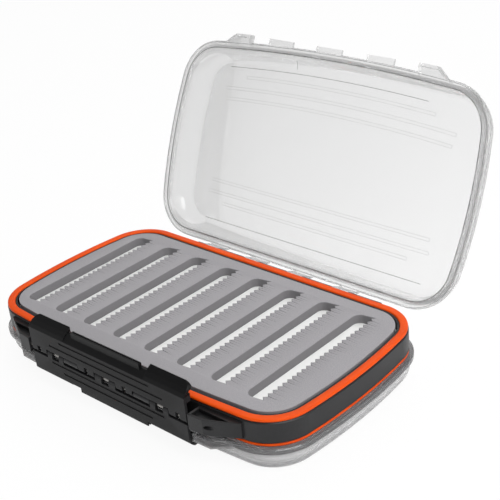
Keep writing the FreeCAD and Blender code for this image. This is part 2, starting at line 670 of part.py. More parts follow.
def make_lid(label, first_knuckle, place):
    """A clear lid: rim, rounded dome, hinge arms, latch tabs and blocks, raised strips."""
    body = new_body(label)
    rim = pad(body, f"{label}_rim", outline_sketch(body, f"{label}_rim_outline", RIM_OUTER, RIM_LEVEL),
              "sizes.rim_thickness")
    bevel(body, f"{label}_rim_edges", rim, "sizes.rim_bevel",
          at_level(RIM_LEVEL, f"{RIM_LEVEL} + sizes.rim_thickness"))
    top_level = f"{RIM_LEVEL} + sizes.lid_height"
    pad(body, f"{label}_dome", outline_sketch(body, f"{label}_dome_outline", DOME_OUTER, RIM_LEVEL),
        "sizes.lid_height")
    hollow = pocket(body, f"{label}_hollow",
                    outline_sketch(body, f"{label}_hollow_outline", DOME_INNER, RIM_LEVEL),
                    "sizes.lid_height - sizes.lid_ceiling", "up")
    inside = fillet(body, f"{label}_hollow_edge", hollow, "sizes.lid_rounding - sizes.lid_ceiling",
                    at_level(CEILING_LEVEL))
    fillet(body, f"{label}_dome_edge", inside, "sizes.lid_rounding", at_level(top_level))

    # Tabs and blocks on the front, which the latch closes over
    tab_root = f"-sizes.half_width - {DOME_INNER}"
    tab = pad(body, f"{label}_tab", polygon_sketch(
        body, f"{label}_tab_outline", "XY_Plane",
        rectangle("-sizes.tab_pitch - sizes.tab_half_length", "-sizes.tab_pitch + sizes.tab_half_length",
                  TAB_FACE, tab_root), RIM_LEVEL), "sizes.tab_height")
    tabs_each_side = 1
    row_along_length(body, f"{label}_tabs", [tab], f"{2 * tabs_each_side} * sizes.tab_pitch",
                     f"{2 * tabs_each_side + 1}")
    block_face = f"({TAB_FACE} - sizes.tab_gap)"
    block_corner = f"({BLOCK_START} + sizes.block_flat)"
    block_end = f"({block_corner} + sizes.block_ramp)"
    block_root = f"(-sizes.half_width - {DOME_OUTER} + sizes.lid_wall)"
    block = pad(body, f"{label}_block", polygon_sketch(body, f"{label}_block_outline", "XY_Plane", [
        (BLOCK_START, block_root),
        (BLOCK_START, block_face),
        (block_corner, f"{block_face} + sizes.rim_bevel"),
        (block_end, f"-sizes.half_width - {DOME_INNER}"),
        (block_end, f"{block_root} + sizes.lid_wall"),
    ], RIM_LEVEL), "sizes.block_height")
    mirrored(body, f"{label}_blocks", [block])

    # Hinge arms
    rim_face = f"(sizes.half_width + {RIM_OUTER})"
    arm_top = f"({RIM_LEVEL} + sizes.rim_thickness - sizes.arm_drop)"
    arm_inner = f"({HINGE_Y} - sizes.hinge_barrel_radius)"
    arm = pad(body, f"{label}_arm", polygon_sketch(body, f"{label}_arm_outline", "YZ_Plane", [
        (f"{rim_face} - sizes.arm_thickness", RIM_LEVEL),
        (arm_inner, RIM_LEVEL),
        (arm_inner, "0"),
        (HINGE_Y, "-sizes.hinge_barrel_radius / 2"),
        (f"{HINGE_Y} + {ARM_TANGENT_SHARES[0]} * sizes.hinge_barrel_radius",
         f"{ARM_TANGENT_SHARES[1]} * sizes.hinge_barrel_radius"),
        (f"{rim_face} + sizes.arm_thickness", f"{RIM_LEVEL} + sizes.arm_step"),
        (f"{rim_face} + sizes.arm_thickness - sizes.arm_step / 2", arm_top),
        (f"{rim_face} - sizes.arm_thickness", arm_top),
    ], f"{first_knuckle} - sizes.lid_knuckle_width / 2"), "sizes.lid_knuckle_width")
    barrel = knuckle(body, f"{label}_knuckle", HINGE_Y, "sizes.hinge_barrel_radius",
                     f"{first_knuckle} - sizes.lid_knuckle_width / 2", "sizes.lid_knuckle_width")
    row_along_length(body, f"{label}_hinge_row", [arm, barrel],
                     "2 * sizes.hinge_pitch * (sizes.hinge_knuckles - 1)", "sizes.hinge_knuckles")
    bore(body, f"{label}_bore", HINGE_Y, HINGE_BORE, "sizes.half_length")

    # Raised strips on the ceiling
    for index, (inset, reach) in enumerate(STRIP_SHARES, start=1):
        sketch = curved_strip_sketch(body, f"{label}_curved_strip_{index}",
                                     f"{inset} * sizes.half_width", f"{reach} * sizes.half_length")
        pad(body, f"{label}_front_strip_{index}", sketch, "sizes.strip_height", "down")
    for index, (inset, reach) in enumerate(REAR_STRIP_SHARES, start=1):
        middle = f"sizes.half_width * (1 - {inset})"
        sketch = polygon_sketch(
            body, f"{label}_straight_strip_{index}", "XY_Plane",
            rectangle(f"-{reach} * sizes.half_length", f"{reach} * sizes.half_length",
                      f"{middle} - sizes.strip_width / 2", f"{middle} + sizes.strip_width / 2"),
            CEILING_LEVEL)
        pad(body, f"{label}_rear_strip_{index}", sketch, "sizes.strip_height", "down")
    place(body)
    return body


# Latch leaves

# A hook's outer shoulder from its top down: shares of the hook's depth and of its height
SHOULDER_SHARES = [
    (0.82, 0.90),
    (0.50, 0.62),
    (0.20, 0.30),
]


def leaf_profile(points):
    """Turns points given inwards and up from the latch axis into expressions."""
    return [(f"{LATCH_Y} + {inward}", up) for inward, up in points]


def corner_cut_sketch(body, name):
    """What is cut from a leaf's right-hand corner to round it, seen from the front."""
    reach = "sizes.leaf_half_length"
    top = "sizes.leaf_height"
    outside = f"{reach} + sizes.cut_overrun"
    above = f"{top} + sizes.cut_overrun"
    radius = number("sizes.ear_rounding")
    centre = FreeCAD.Vector(number(reach) - radius, number(top) - radius, 0)
    side_point = centre + FreeCAD.Vector(radius, 0, 0)
    top_point = centre + FreeCAD.Vector(0, radius, 0)
    above_point = FreeCAD.Vector(top_point.x, number(above), 0)
    far_point = FreeCAD.Vector(number(outside), number(above), 0)
    outside_point = FreeCAD.Vector(number(outside), side_point.y, 0)
    sketch = new_sketch(body, name, "XZ_Plane", f"-({LATCH_Y})")
    sketch.addGeometry([
        arc_between(centre, side_point, top_point),
        Part.LineSegment(top_point, above_point),
        Part.LineSegment(above_point, far_point),
        Part.LineSegment(far_point, outside_point),
        Part.LineSegment(outside_point, side_point),
    ], False)
    edges = sketch.GeometryCount
    for edge in range(edges):
        sketch.addConstraint(Sketcher.Constraint("Coincident", edge, 2, (edge + 1) % edges, 1))
    sketch.addConstraint([
        Sketcher.Constraint("Vertical", 1),
        Sketcher.Constraint("Horizontal", 2),
        Sketcher.Constraint("Vertical", 3),
        Sketcher.Constraint("Horizontal", 4),
        Sketcher.Constraint("Vertical", 0, 2, 0, 3),
        Sketcher.Constraint("Horizontal", 0, 1, 0, 3),
    ])
    bind(sketch, Sketcher.Constraint("Radius", 0, radius), "sizes.ear_rounding")
    place_point(sketch, 2, 2, outside, above)
    bind(sketch, Sketcher.Constraint("DistanceX", -1, 1, 0, 1, number(reach)), reach)
    bind(sketch, Sketcher.Constraint("DistanceY", -1, 1, 0, 2, number(top)), top)
    return sketch


def make_leaf(label, knuckles, slit, groove_height, place):
    """One latch leaf. Each knuckle is its start and its end along the pin."""
    body = new_body(label)
    face = "(-sizes.leaf_face)"
    back = "(-sizes.leaf_face + sizes.leaf_thickness)"
    shoulder = "sizes.leaf_face_height"
    top = "sizes.leaf_height"
    pad(body, f"{label}_plate", polygon_sketch(
        body, f"{label}_plate_profile", "YZ_Plane",
        leaf_profile(rectangle(face, back, "sizes.leaf_start", shoulder))),
        "2 * sizes.leaf_half_length", "both")

    # Bar behind the plate, which passes over the lid's tabs and in front of its rim
    catch_back = f"(sizes.latch_reach - {RIM_OUTER} - sizes.tab_gap)"
    pad(body, f"{label}_catch", polygon_sketch(
        body, f"{label}_catch_profile", "YZ_Plane",
        leaf_profile(rectangle(back, catch_back, CATCH_LEVEL, HOOK_LEVEL))),
        "2 * sizes.leaf_half_length", "both")

    # Hooks at both ends
    rounded_shoulder = [
        (f"({face} + {inward} * (sizes.hook_reach + sizes.leaf_face))",
         f"{shoulder} + {up} * (sizes.leaf_height - sizes.leaf_face_height)")
        for inward, up in SHOULDER_SHARES]
    hook = pad(body, f"{label}_hook", polygon_sketch(
        body, f"{label}_hook_profile", "YZ_Plane", leaf_profile([
            (face, "sizes.leaf_start"),
            (back, "sizes.leaf_start"),
            (back, HOOK_LEVEL),
            ("sizes.hook_reach", f"{top} - sizes.hook_tip_height"),
            ("sizes.hook_reach", top),
            *rounded_shoulder,
            (face, shoulder),
        ]), "sizes.ear_start"), "sizes.leaf_half_length - sizes.ear_start")
    mirrored(body, f"{label}_hooks", [hook])
    corner = pocket(body, f"{label}_corner", corner_cut_sketch(body, f"{label}_corner_outline"),
                    "2 * (sizes.hook_reach + sizes.cut_overrun)", "both")
    mirrored(body, f"{label}_corners", [corner])

    # Sill between the hooks, and the finger lip on it, double along its top
    sill_top = f"({shoulder} + sizes.sill_rise)"
    pad(body, f"{label}_sill", polygon_sketch(
        body, f"{label}_sill_profile", "YZ_Plane", leaf_profile([
            (face, f"{shoulder} - sizes.leaf_thickness"),
            (back, f"{shoulder} - sizes.leaf_thickness"),
            (back, HOOK_LEVEL),
            (f"({face} + sizes.sill_reach)", HOOK_LEVEL),
            (f"({face} + sizes.sill_reach)", sill_top),
            (f"({face} + sizes.sill_slope)", sill_top),
            (face, shoulder),
        ])), "2 * sizes.ear_start", "both")
    lip_front = f"({face} + sizes.lip_inset)"
    lip_back = f"({lip_front} + sizes.lip_top_width)"
    groove_front = f"({lip_front} + (sizes.lip_top_width - sizes.lip_groove_width) / 2)"
    groove_back = f"({groove_front} + sizes.lip_groove_width)"
    pad(body, f"{label}_lip", polygon_sketch(
        body, f"{label}_lip_profile", "YZ_Plane", leaf_profile([
            (lip_front, HOOK_LEVEL),
            (lip_back, HOOK_LEVEL),
            (lip_back, top),
            (groove_back, top),
            (groove_back, f"{top} - sizes.lip_groove_width"),
            (groove_front, f"{top} - sizes.lip_groove_width"),
            (groove_front, top),
            (lip_front, top),
        ])), "2 * sizes.lip_half_length", "both")

    # Knuckles on the pin
    for index, (start, end) in enumerate(knuckles, start=1):
        width = f"{end} - ({start})"
        pad(body, f"{label}_knuckle_web_{index}", polygon_sketch(
            body, f"{label}_knuckle_web_outline_{index}", "YZ_Plane",
            leaf_profile(rectangle(face, back, "0", "sizes.leaf_start + sizes.leaf_thickness")),
            start), width)
        knuckle(body, f"{label}_knuckle_{index}", LATCH_Y, "sizes.latch_barrel_radius", start, width)
    bore(body, f"{label}_bore", LATCH_Y, LATCH_BORE, "sizes.leaf_half_length")
    for index, (start, end) in enumerate(knuckles, start=1):
        middle = f"({start} + {end}) / 2"
        pocket(body, f"{label}_slit_{index}", polygon_sketch(
            body, f"{label}_slit_outline_{index}", "XZ_Plane",
            rectangle(f"{middle} - {slit} / 2", f"{middle} + {slit} / 2",
                      "-sizes.leaf_start", "sizes.leaf_start"),
            f"-({LATCH_Y})"), "2 * sizes.leaf_face", "up")

    # Grooves across the face
    grooves = [
        (groove_height, "sizes.groove_half_length"),
        (f"{groove_height} + sizes.groove_pitch", "sizes.short_groove_half_length"),
    ]
    for index, (height, reach) in enumerate(grooves, start=1):
        pocket(body, f"{label}_groove_{index}", polygon_sketch(
            body, f"{label}_groove_outline_{index}", "XZ_Plane",
            rectangle(f"-({reach})", reach,
                      f"{height} - sizes.groove_width / 2", f"{height} + sizes.groove_width / 2"),
            f"-({LATCH_Y} - sizes.leaf_face)"), "sizes.groove_depth")
    place(body)
    return body


# Pins

def make_pin(label, axis_y, radius, start, length):
    """A plain steel pin with bevelled ends."""
    body = new_body(label)
    rod = knuckle(body, f"{label}_rod", axis_y, radius, start, length)
    bevel(body, f"{label}_ends", rod, "sizes.pin_bevel",
          lambda edge: edge.BoundBox.XLength < SAME_PLACE)
    lift(body)
    return body


def both_sides(start, end):
    """A knuckle and its twin on the other side of the middle."""
    return [(start, end), (f"-{end}", f"-{start}")]


first_upper_knuckle = "(sizes.hinge_shift - (sizes.hinge_knuckles - 1 / 2) * sizes.hinge_pitch)"
first_lower_knuckle = "(-sizes.hinge_shift - (sizes.hinge_knuckles - 1 / 2) * sizes.hinge_pitch)"
middle_end = "(sizes.middle_knuckle_end - sizes.latch_gap)"
upper_leaf_knuckles = (
    both_sides("(sizes.middle_knuckle_end + sizes.latch_gap)", "(sizes.inner_knuckle_end - sizes.latch_gap)")
    + both_sides("(sizes.outer_knuckle_end + sizes.latch_gap)", "sizes.leaf_half_length"))
lower_leaf_knuckles = (
    [(f"-{middle_end}", middle_end)]
    + both_sides("(sizes.lug_knuckle_end + sizes.latch_gap)", "(sizes.outer_knuckle_end - sizes.latch_gap)"))

pieces = [
    make_centre_body(),
    make_seal("upper_seal", lift),
    make_seal("lower_seal", turn_over),
    make_foam_base("upper_foam_base", lift),
    make_foam_base("lower_foam_base", turn_over),
    make_foam("upper_foam", lift),
    make_foam("lower_foam", turn_over),
    make_lid("upper_lid", first_upper_knuckle, swing_open),
    make_lid("lower_lid", first_lower_knuckle, turn_over),
    make_leaf("upper_latch", upper_leaf_knuckles, "sizes.upper_slit_width",
              "sizes.upper_groove_height", lift_latch),
    make_leaf("lower_latch", lower_leaf_knuckles, "sizes.lower_slit_width",
              "sizes.lower_groove_height", turn_latch_over),
    make_pin("hinge_pin", HINGE_Y, "sizes.hinge_pin_radius", HINGE_START,
             f"2 * (sizes.hinge_shift - {HINGE_START})"),
    make_pin("latch_pin", LATCH_Y, "sizes.latch_pin_radius",
             "sizes.latch_shift - sizes.latch_pin_half_length", "2 * sizes.latch_pin_half_length"),
]

doc.recompute()
for item in doc.Objects:
    if "Invalid" in item.State or "Error" in item.State:
        raise RuntimeError(f"{item.Label} did not build: {item.State}")
os.makedirs("parts", exist_ok=True)
for piece in pieces:
    shape = piece.Shape
    if shape.isNull() or not shape.isValid():
        raise RuntimeError(f"{piece.Label} has no valid shape")
    shape.exportStep(os.path.join("parts", f"{piece.Label}.step"))
    print(piece.Label, len(shape.Solids), round(shape.Volume, 1), shape.BoundBox)
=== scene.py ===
import bpy
import bmesh
import math
import random
from mathutils import Matrix, Vector


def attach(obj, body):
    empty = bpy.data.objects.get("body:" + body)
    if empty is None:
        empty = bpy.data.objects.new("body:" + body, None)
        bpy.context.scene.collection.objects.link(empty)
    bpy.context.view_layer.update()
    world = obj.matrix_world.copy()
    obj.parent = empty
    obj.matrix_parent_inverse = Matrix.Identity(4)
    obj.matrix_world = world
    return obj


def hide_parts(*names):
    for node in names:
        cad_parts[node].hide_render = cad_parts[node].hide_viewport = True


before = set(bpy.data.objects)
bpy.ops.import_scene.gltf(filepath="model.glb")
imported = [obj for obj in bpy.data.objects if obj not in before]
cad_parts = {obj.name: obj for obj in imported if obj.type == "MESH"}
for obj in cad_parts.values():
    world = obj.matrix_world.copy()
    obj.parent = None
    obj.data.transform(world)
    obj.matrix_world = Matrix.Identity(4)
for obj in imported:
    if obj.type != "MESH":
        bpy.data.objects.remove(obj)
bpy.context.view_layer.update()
scene = bpy.context.scene

# The outline, in mm, as the solids have it: bowed ends and front, straight rear
HALF_LENGTH, HALF_WIDTH = 86.0, 46.5
CORNER_RADIUS, END_RADIUS, FRONT_RADIUS = 17.6, 250.0, 850.0
SEAL_HALF_WIDTH = 1.7
MIDDLE = 19.1  # height of the middle plane
MM = 0.001

# Pads: levels above the middle plane, and the slots cut in them
BASE_LEVEL, FOAM_LEVEL, FOAM_TOP = 0.6, 1.9, 6.1
SEAT_LEVEL, RIM_LEVEL = 4.7, 6.1
PAD_EDGE = -3.0
FOAM_GAP = 0.5  # how far the foam's edge lies inside the white layer's
FOAM_EDGE, LAYER_EDGE, SEAL_EDGE = 0.12, 0.15, 0.62  # roundings of their edges
SEAL_TOP_GAP = 0.03  # between the seal and the rim that closes on it
SLOT_COUNT, TEETH = 8, 25
SLOT_LEFT, SLOT_RIGHT, SLOT_FRONT, SLOT_REAR = 8.45, 14.2, 9.4, 6.5
SLOT_WIDTH, TOOTH_DEPTH, SLOT_CORNER, SLOT_RISE = 7.45, 1.7, 3.6, 0.8
SLIT_ABOVE, SLIT_DEPTH, SLIT_OVERLAP = 0.3, 2.4, 0.3  # a slit's reach over, under and before the foam
SLIT_AT_TOOTH, SLIT_AT_NOTCH = 0.11, 0.17  # half widths
SLIT_LENGTHS, SLIT_TILTS, SLIT_WIDTH_SHARES = (5.4, 7.8), (-0.08, 0.05), (0.7, 1.3)

# Lids: their ceiling above the middle plane, its inner rounding, and the hinge
CEILING_LEVEL, CEILING_ROUNDING = 17.4, 6.3
STRIP_WIDTH, STRIP_LEVEL = 1.4, 17.1
STRIPS_FRONT = [(0.264, 0.64), (0.391, 0.78), (0.505, 0.77)]  # inset and half length, as shares
STRIPS_REAR = [(0.555, 0.76), (0.430, 0.77), (0.325, 0.65)]
HINGE_Y = 52.5
OPEN_ANGLE = math.radians(-114)

# Fine lines on the lids: painted edge shade along the rims and the strips, lines along the ceiling, a gate
# mark, and the blocks' painted highlight
LINE_THICKNESS = 0.05
CEILING_LINE, STRIP_LINE, BLOCK_LINE = 0.13, 0.035, 0.3  # half widths
REAR_LINE_SHIFT, REAR_LINE_REACH = 0.2, 65.5
FRONT_LINE_INSET, FRONT_LINE_REACH, FRONT_LINE_POINTS = 7.6, 67, 15
GATE_X, GATE_START, GATE_STEP, GATE_POINTS = -25.0, 0.4, 1.0, 5
# The rim's lines are painted edge shade.
RIM_LINES = [(0.45, 0.25), (3.0, 0.12)]  # offset from the outline, half width
RIM_LINE_DEPTH = 0.07  # the lines' place inside the rim's plastic
RIM_LINE_SPACING = 2.5  # between its points
# Points of the blocks' painted highlight, in mm
BLOCK_EDGE = [(50.2, -51.1), (54.6, -51.0), (58.9, -50.8), (62.0, -48.4)]

# Clear plastic, whose painted light and shade change with the level above a lid's middle plane and along
# its length
CLEAR_IOR = 1.49
SAME_LEVEL = 0.02
ABSORPTION_GREY, ABSORPTION_DENSITY, STRAIGHT_GREY = 0.55, 80.0, 0.97
RIM_SHADE_BAND, HIGHLIGHT_RISE, HIGHLIGHT_FALL = (8.3, 9.3), (9.4, 10.9), (11.6, 14.2)
LEFT_PAINTED_LIGHT, LEFT_TO_RIGHT = (-0.086, -0.058), (-0.08, 0.07)  # in metres

# Studio
LIGHTS = [  # name, azimuth, elevation, size, power
    ("key_light", 70, 52, 0.9, 11),
    ("side_light", 105, 26, 0.6, 3.5),
    ("rear_light", -150, 55, 0.9, 4),
]
LIGHT_DISTANCE, AIM_HEIGHT = 1.3, 0.03
FLOOR_HALF, FLOOR_GREY = 3, 0.9
FLOOR_WHITE_STRAIGHT, FLOOR_WHITE_INDIRECT = 0.92, 0.4
WORLD_LIGHT = 0.5
WORLD_LOW, WORLD_HIGH = (0.1, 0.9), (0.75, 0.22)  # height and strength, as mirrored by the box

# From a piece drawn about the middle plane to the place of each half, in mm
LIFT = Matrix.Translation((0, 0, MIDDLE))
TURN_OVER = LIFT @ Matrix.Rotation(math.pi, 4, "Y")
SWING_OPEN = (LIFT @ Matrix.Translation((0, HINGE_Y, 0)) @ Matrix.Rotation(OPEN_ANGLE, 4, "X")
              @ Matrix.Translation((0, -HINGE_Y, 0)))


# Camera

def setup_camera():
    azimuth = math.radians(44.914)
    elevation = math.radians(26.914)
    roll = math.radians(-6.005)
    location = Vector((308.07, -272.16, 259.51)) * MM
    back = Vector((math.sin(azimuth) * math.cos(elevation),
                   -math.cos(azimuth) * math.cos(elevation), math.sin(elevation)))
    level = Vector((math.cos(azimuth), math.sin(azimuth), 0))
    upright = back.cross(level)
    right = level * math.cos(roll) + upright * math.sin(roll)
    up = upright * math.cos(roll) - level * math.sin(roll)
    data = bpy.data.cameras.new("camera")
    data.lens = 79.13
    data.sensor_width = 36
    camera = bpy.data.objects.new("camera", data)
    turn = Matrix((right, up, back)).transposed().to_4x4()
    camera.matrix_world = Matrix.Translation(location) @ turn
    scene.collection.objects.link(camera)
    scene.camera = camera


# Node helpers

class Nodes:
    """Short names for building one node tree."""

    def __init__(self, tree):
        self.tree = tree

    def add(self, kind, **settings):
        node = self.tree.nodes.new(kind)
        for name, value in settings.items():
            setattr(node, name, value)
        return node

    def link(self, output, target):
        self.tree.links.new(output, target)

    def feed(self, target, value):
        if isinstance(value, bpy.types.NodeSocket):
            self.link(value, target)
        else:
            target.default_value = value

    def math(self, operation, first, second=0.0, third=0.0):
        node = self.add("ShaderNodeMath", operation=operation)
        for socket, value in zip(node.inputs, (first, second, third)):
            self.feed(socket, value)
        return node.outputs[0]

    def noise(self, where, size_mm, detail=3.0, rough=0.55):
        """Noise whose grains are about size_mm across."""
        node = self.add("ShaderNodeTexNoise")
        node.inputs["Scale"].default_value = 1 / (size_mm * MM)
        node.inputs["Detail"].default_value = detail
        node.inputs["Roughness"].default_value = rough
        self.link(where, node.inputs["Vector"])
        return node.outputs["Fac"]

    def ramp(self, value, low, high, out_low, out_high, smooth=False):
        node = self.add("ShaderNodeMapRange", clamp=True)
        if smooth:
            node.interpolation_type = "SMOOTHSTEP"
        limits = {"From Min": low, "From Max": high, "To Min": out_low, "To Max": out_high}
        for name, number in limits.items():
            node.inputs[name].default_value = number
        self.feed(node.inputs["Value"], value)
        return node.outputs["Result"]

    def mix(self, share, first, second):
        node = self.add("ShaderNodeMix", data_type="RGBA")
        self.feed(node.inputs["Factor"], share)
        self.feed(node.inputs[6], first)
        self.feed(node.inputs[7], second)
        return node.outputs[2]

    def bump(self, height, strength, distance_mm, normal=None):
        node = self.add("ShaderNodeBump")
        node.inputs["Strength"].default_value = strength
        node.inputs["Distance"].default_value = distance_mm * MM
        self.link(height, node.inputs["Height"])
        if normal:
            self.link(normal, node.inputs["Normal"])
        return node.outputs["Normal"]

    def soft_edges(self, radius_mm):
        node = self.add("ShaderNodeBevel", samples=4)
        node.inputs["Radius"].default_value = radius_mm * MM
        return node.outputs["Normal"]


def new_material(name):
    material = bpy.data.materials.new(name)
    material.use_nodes = True
    tree = Nodes(material.node_tree)
    shader = material.node_tree.nodes["Principled BSDF"]
    where = tree.add("ShaderNodeTexCoord").outputs["Object"]
    return material, tree, shader, where


def shade(colour):
    """A colour given as sRGB 0-255, for a colour socket."""
    linear = [c / 255 / 12.92 if c / 255 <= 0.04045 else ((c / 255 + 0.055) / 1.055) ** 2.4 for c in colour]
    return (*linear, 1)


def grey(value):
    return shade((value, value, value))


# Materials

def moulded_plastic(name, colour, worn, roughness, specular, grain_mm, edge_mm, painted_shade_band=None):
    """Moulded plastic: fine grain, faint mottling, edges a little lighter where they rub, and painted shade
    above a level when a shade band is given.
    """
    material, tree, shader, where = new_material(name)
    cloud = tree.noise(where, 9.0, 2.0)
    grain = tree.noise(where, grain_mm, 2.0)
    tint = tree.ramp(cloud, 0.35, 0.65, 0.0, 1.0)
    base = tree.mix(tint, shade(colour), shade([c * 1.12 for c in colour]))
    pointiness = tree.add("ShaderNodeNewGeometry").outputs["Pointiness"]
    rub = tree.math("MULTIPLY", tree.ramp(pointiness, 0.52, 0.6, 0.0, 0.5),
                    tree.ramp(grain, 0.4, 0.6, 0.3, 1.0))
    base = tree.mix(rub, base, shade(worn))
    rough = tree.ramp(grain, 0.3, 0.7, roughness - 0.05, roughness + 0.06)
    # Painted shade: above the band's level from the middle plane the colour turns darker and glossier,
    # standing in for the dark reflection on the latch's hook top.
    if painted_shade_band:
        level, dark, dark_roughness = painted_shade_band
        height = tree.add("ShaderNodeSeparateXYZ")
        tree.link(where, height.inputs[0])
        away = tree.math("ABSOLUTE", tree.math("SUBTRACT", height.outputs["Z"], MIDDLE * MM))
        inside = tree.ramp(away, (level - 0.1) * MM, (level + 0.1) * MM, 0.0, 1.0)
        base = tree.mix(inside, base, shade(dark))
        rough = tree.math("ADD", rough, tree.math("MULTIPLY", inside, dark_roughness - roughness))
    tree.link(base, shader.inputs["Base Color"])
    tree.link(rough, shader.inputs["Roughness"])
    shader.inputs["Specular IOR Level"].default_value = specular
    tree.link(tree.bump(grain, 0.25, 0.03, tree.soft_edges(edge_mm)), shader.inputs["Normal"])
    return material


def painted_left_shade(tree, along, level):
    """The open lid's colour with painted shade: a little greyer to the left."""
    return tree.mix(tree.ramp(along, *LEFT_TO_RIGHT, 0.0, 1.0), grey(226), grey(249))


def painted_light_and_shade_bands(tree, along, level):
    """The closed lid's colour with painted light and shade: grey painted shade in the rim and wall, painted
    light at the left, and a painted highlight where the rounding starts.
    """
    # Painted shade: the rim band darker and the wall grey; a painted highlight on the crest where the
    # rounding starts.
    rim = tree.ramp(level, RIM_SHADE_BAND[0] * MM, RIM_SHADE_BAND[1] * MM, 1.0, 0.0, True)
    crest = tree.math("MULTIPLY", tree.ramp(level, HIGHLIGHT_RISE[0] * MM, HIGHLIGHT_RISE[1] * MM, 0.0, 1.0, True),
                      tree.ramp(level, HIGHLIGHT_FALL[0] * MM, HIGHLIGHT_FALL[1] * MM, 1.0, 0.0, True))
    wall = tree.mix(rim, shade((200, 200, 201)), shade((126, 126, 128)))
    # Painted light: the wall lighter towards the left end.
    wall = tree.mix(tree.ramp(along, *LEFT_PAINTED_LIGHT, 0.75, 0.0), wall, grey(244))
    return tree.mix(crest, wall, grey(254))


def clear_plastic(name, place, tint, transmission, straight):
    """Clear plastic with moulding ripple and hairline scratches, greyer the more of it lies in the way.

    Straight is the share of what lies behind a wall that shows without being bent.
    """
    material, tree, shader, where = new_material(name)
    shader.inputs["Transmission Weight"].default_value = transmission
    shader.inputs["IOR"].default_value = CLEAR_IOR
    upwards = place.inverted().to_3x3().row[2].to_tuple()
    height = tree.add("ShaderNodeVectorMath", operation="DOT_PRODUCT")
    tree.link(where, height.inputs[0])
    height.inputs[1].default_value = upwards
    level = tree.math("SUBTRACT", height.outputs["Value"], Vector(upwards).dot(place.translation) * MM)
    along = tree.add("ShaderNodeSeparateXYZ")
    tree.link(where, along.inputs[0])
    # The base colour is the lid's painted light and shade, from the function given as tint.
    tree.link(tint(tree, along.outputs["X"], level), shader.inputs["Base Color"])
    flat = tree.math("MAXIMUM", tree.math("COMPARE", level, CEILING_LEVEL * MM, SAME_LEVEL * MM),
                     tree.math("COMPARE", level, MIDDLE * MM, SAME_LEVEL * MM))
    geometry = tree.add("ShaderNodeNewGeometry")
    steady = tree.add("ShaderNodeMix", data_type="VECTOR")
    tree.link(flat, steady.inputs["Factor"])
    tree.link(geometry.outputs["Normal"], steady.inputs[4])
    tree.link(geometry.outputs["True Normal"], steady.inputs[5])
    ripple = tree.noise(where, 22.0, 1.0)
    stretched = tree.add("ShaderNodeMapping")
    stretched.inputs["Scale"].default_value = (0.06, 1.0, 1.0)
    tree.link(where, stretched.inputs["Vector"])
    hairs = tree.noise(stretched.outputs["Vector"], 0.5, 2.0, 0.7)
    tree.link(tree.ramp(hairs, 0.6, 0.8, 0.01, 0.08), shader.inputs["Roughness"])
    tree.link(tree.bump(ripple, 0.25, 0.05, steady.outputs[1]), shader.inputs["Normal"])
    absorb = tree.add("ShaderNodeVolumeAbsorption")
    absorb.inputs["Color"].default_value = (ABSORPTION_GREY, ABSORPTION_GREY, ABSORPTION_GREY, 1)
    absorb.inputs["Density"].default_value = ABSORPTION_DENSITY
    output = material.node_tree.nodes["Material Output"]
    tree.link(absorb.outputs["Volume"], output.inputs["Volume"])
    clear = tree.add("ShaderNodeBsdfTransparent")
    clear.inputs["Color"].default_value = (STRAIGHT_GREY, STRAIGHT_GREY, STRAIGHT_GREY, 1)
    shadow = tree.add("ShaderNodeLightPath").outputs["Is Shadow Ray"]
    blend = tree.add("ShaderNodeMixShader")
    tree.link(tree.math("MAXIMUM", shadow, straight), blend.inputs[0])
    tree.link(shader.outputs[0], blend.inputs[1])
    tree.link(clear.outputs[0], blend.inputs[2])
    tree.link(blend.outputs[0], output.inputs["Surface"])
    return material


def fine_line_plastic(name, low, high):
    """The look of a fine line on clear plastic, between two greys; used for the lids' lines, most of them
    painted edge shade, and for the blocks' painted highlight.
    """
    material, tree, shader, where = new_material(name)
    streaks = tree.noise(where, 5.0, 2.0)
    tint = tree.mix(tree.ramp(streaks, 0.3, 0.7, 0.0, 1.0), grey(low), grey(high))
    tree.link(tint, shader.inputs["Base Color"])
    shader.inputs["Transmission Weight"].default_value = 0.6
    shader.inputs["IOR"].default_value = CLEAR_IOR
    shader.inputs["Roughness"].default_value = 0.3
    return material


def soft_rubber(name, colour, deep):
    """Moulded rubber: even colour with faint dust and a dull bloom."""
    material, tree, shader, where = new_material(name)
    cloud = tree.noise(where, 14.0, 3.0)
    grain = tree.noise(where, 0.35, 2.0)
    base = tree.mix(tree.ramp(cloud, 0.35, 0.7, 0.0, 1.0), shade(colour), shade(deep))
    tree.link(base, shader.inputs["Base Color"])
    tree.link(tree.ramp(grain, 0.3, 0.7, 0.38, 0.52), shader.inputs["Roughness"])
    shader.inputs["Specular IOR Level"].default_value = 0.15
    tree.link(tree.bump(grain, 0.2, 0.03), shader.inputs["Normal"])
    return material


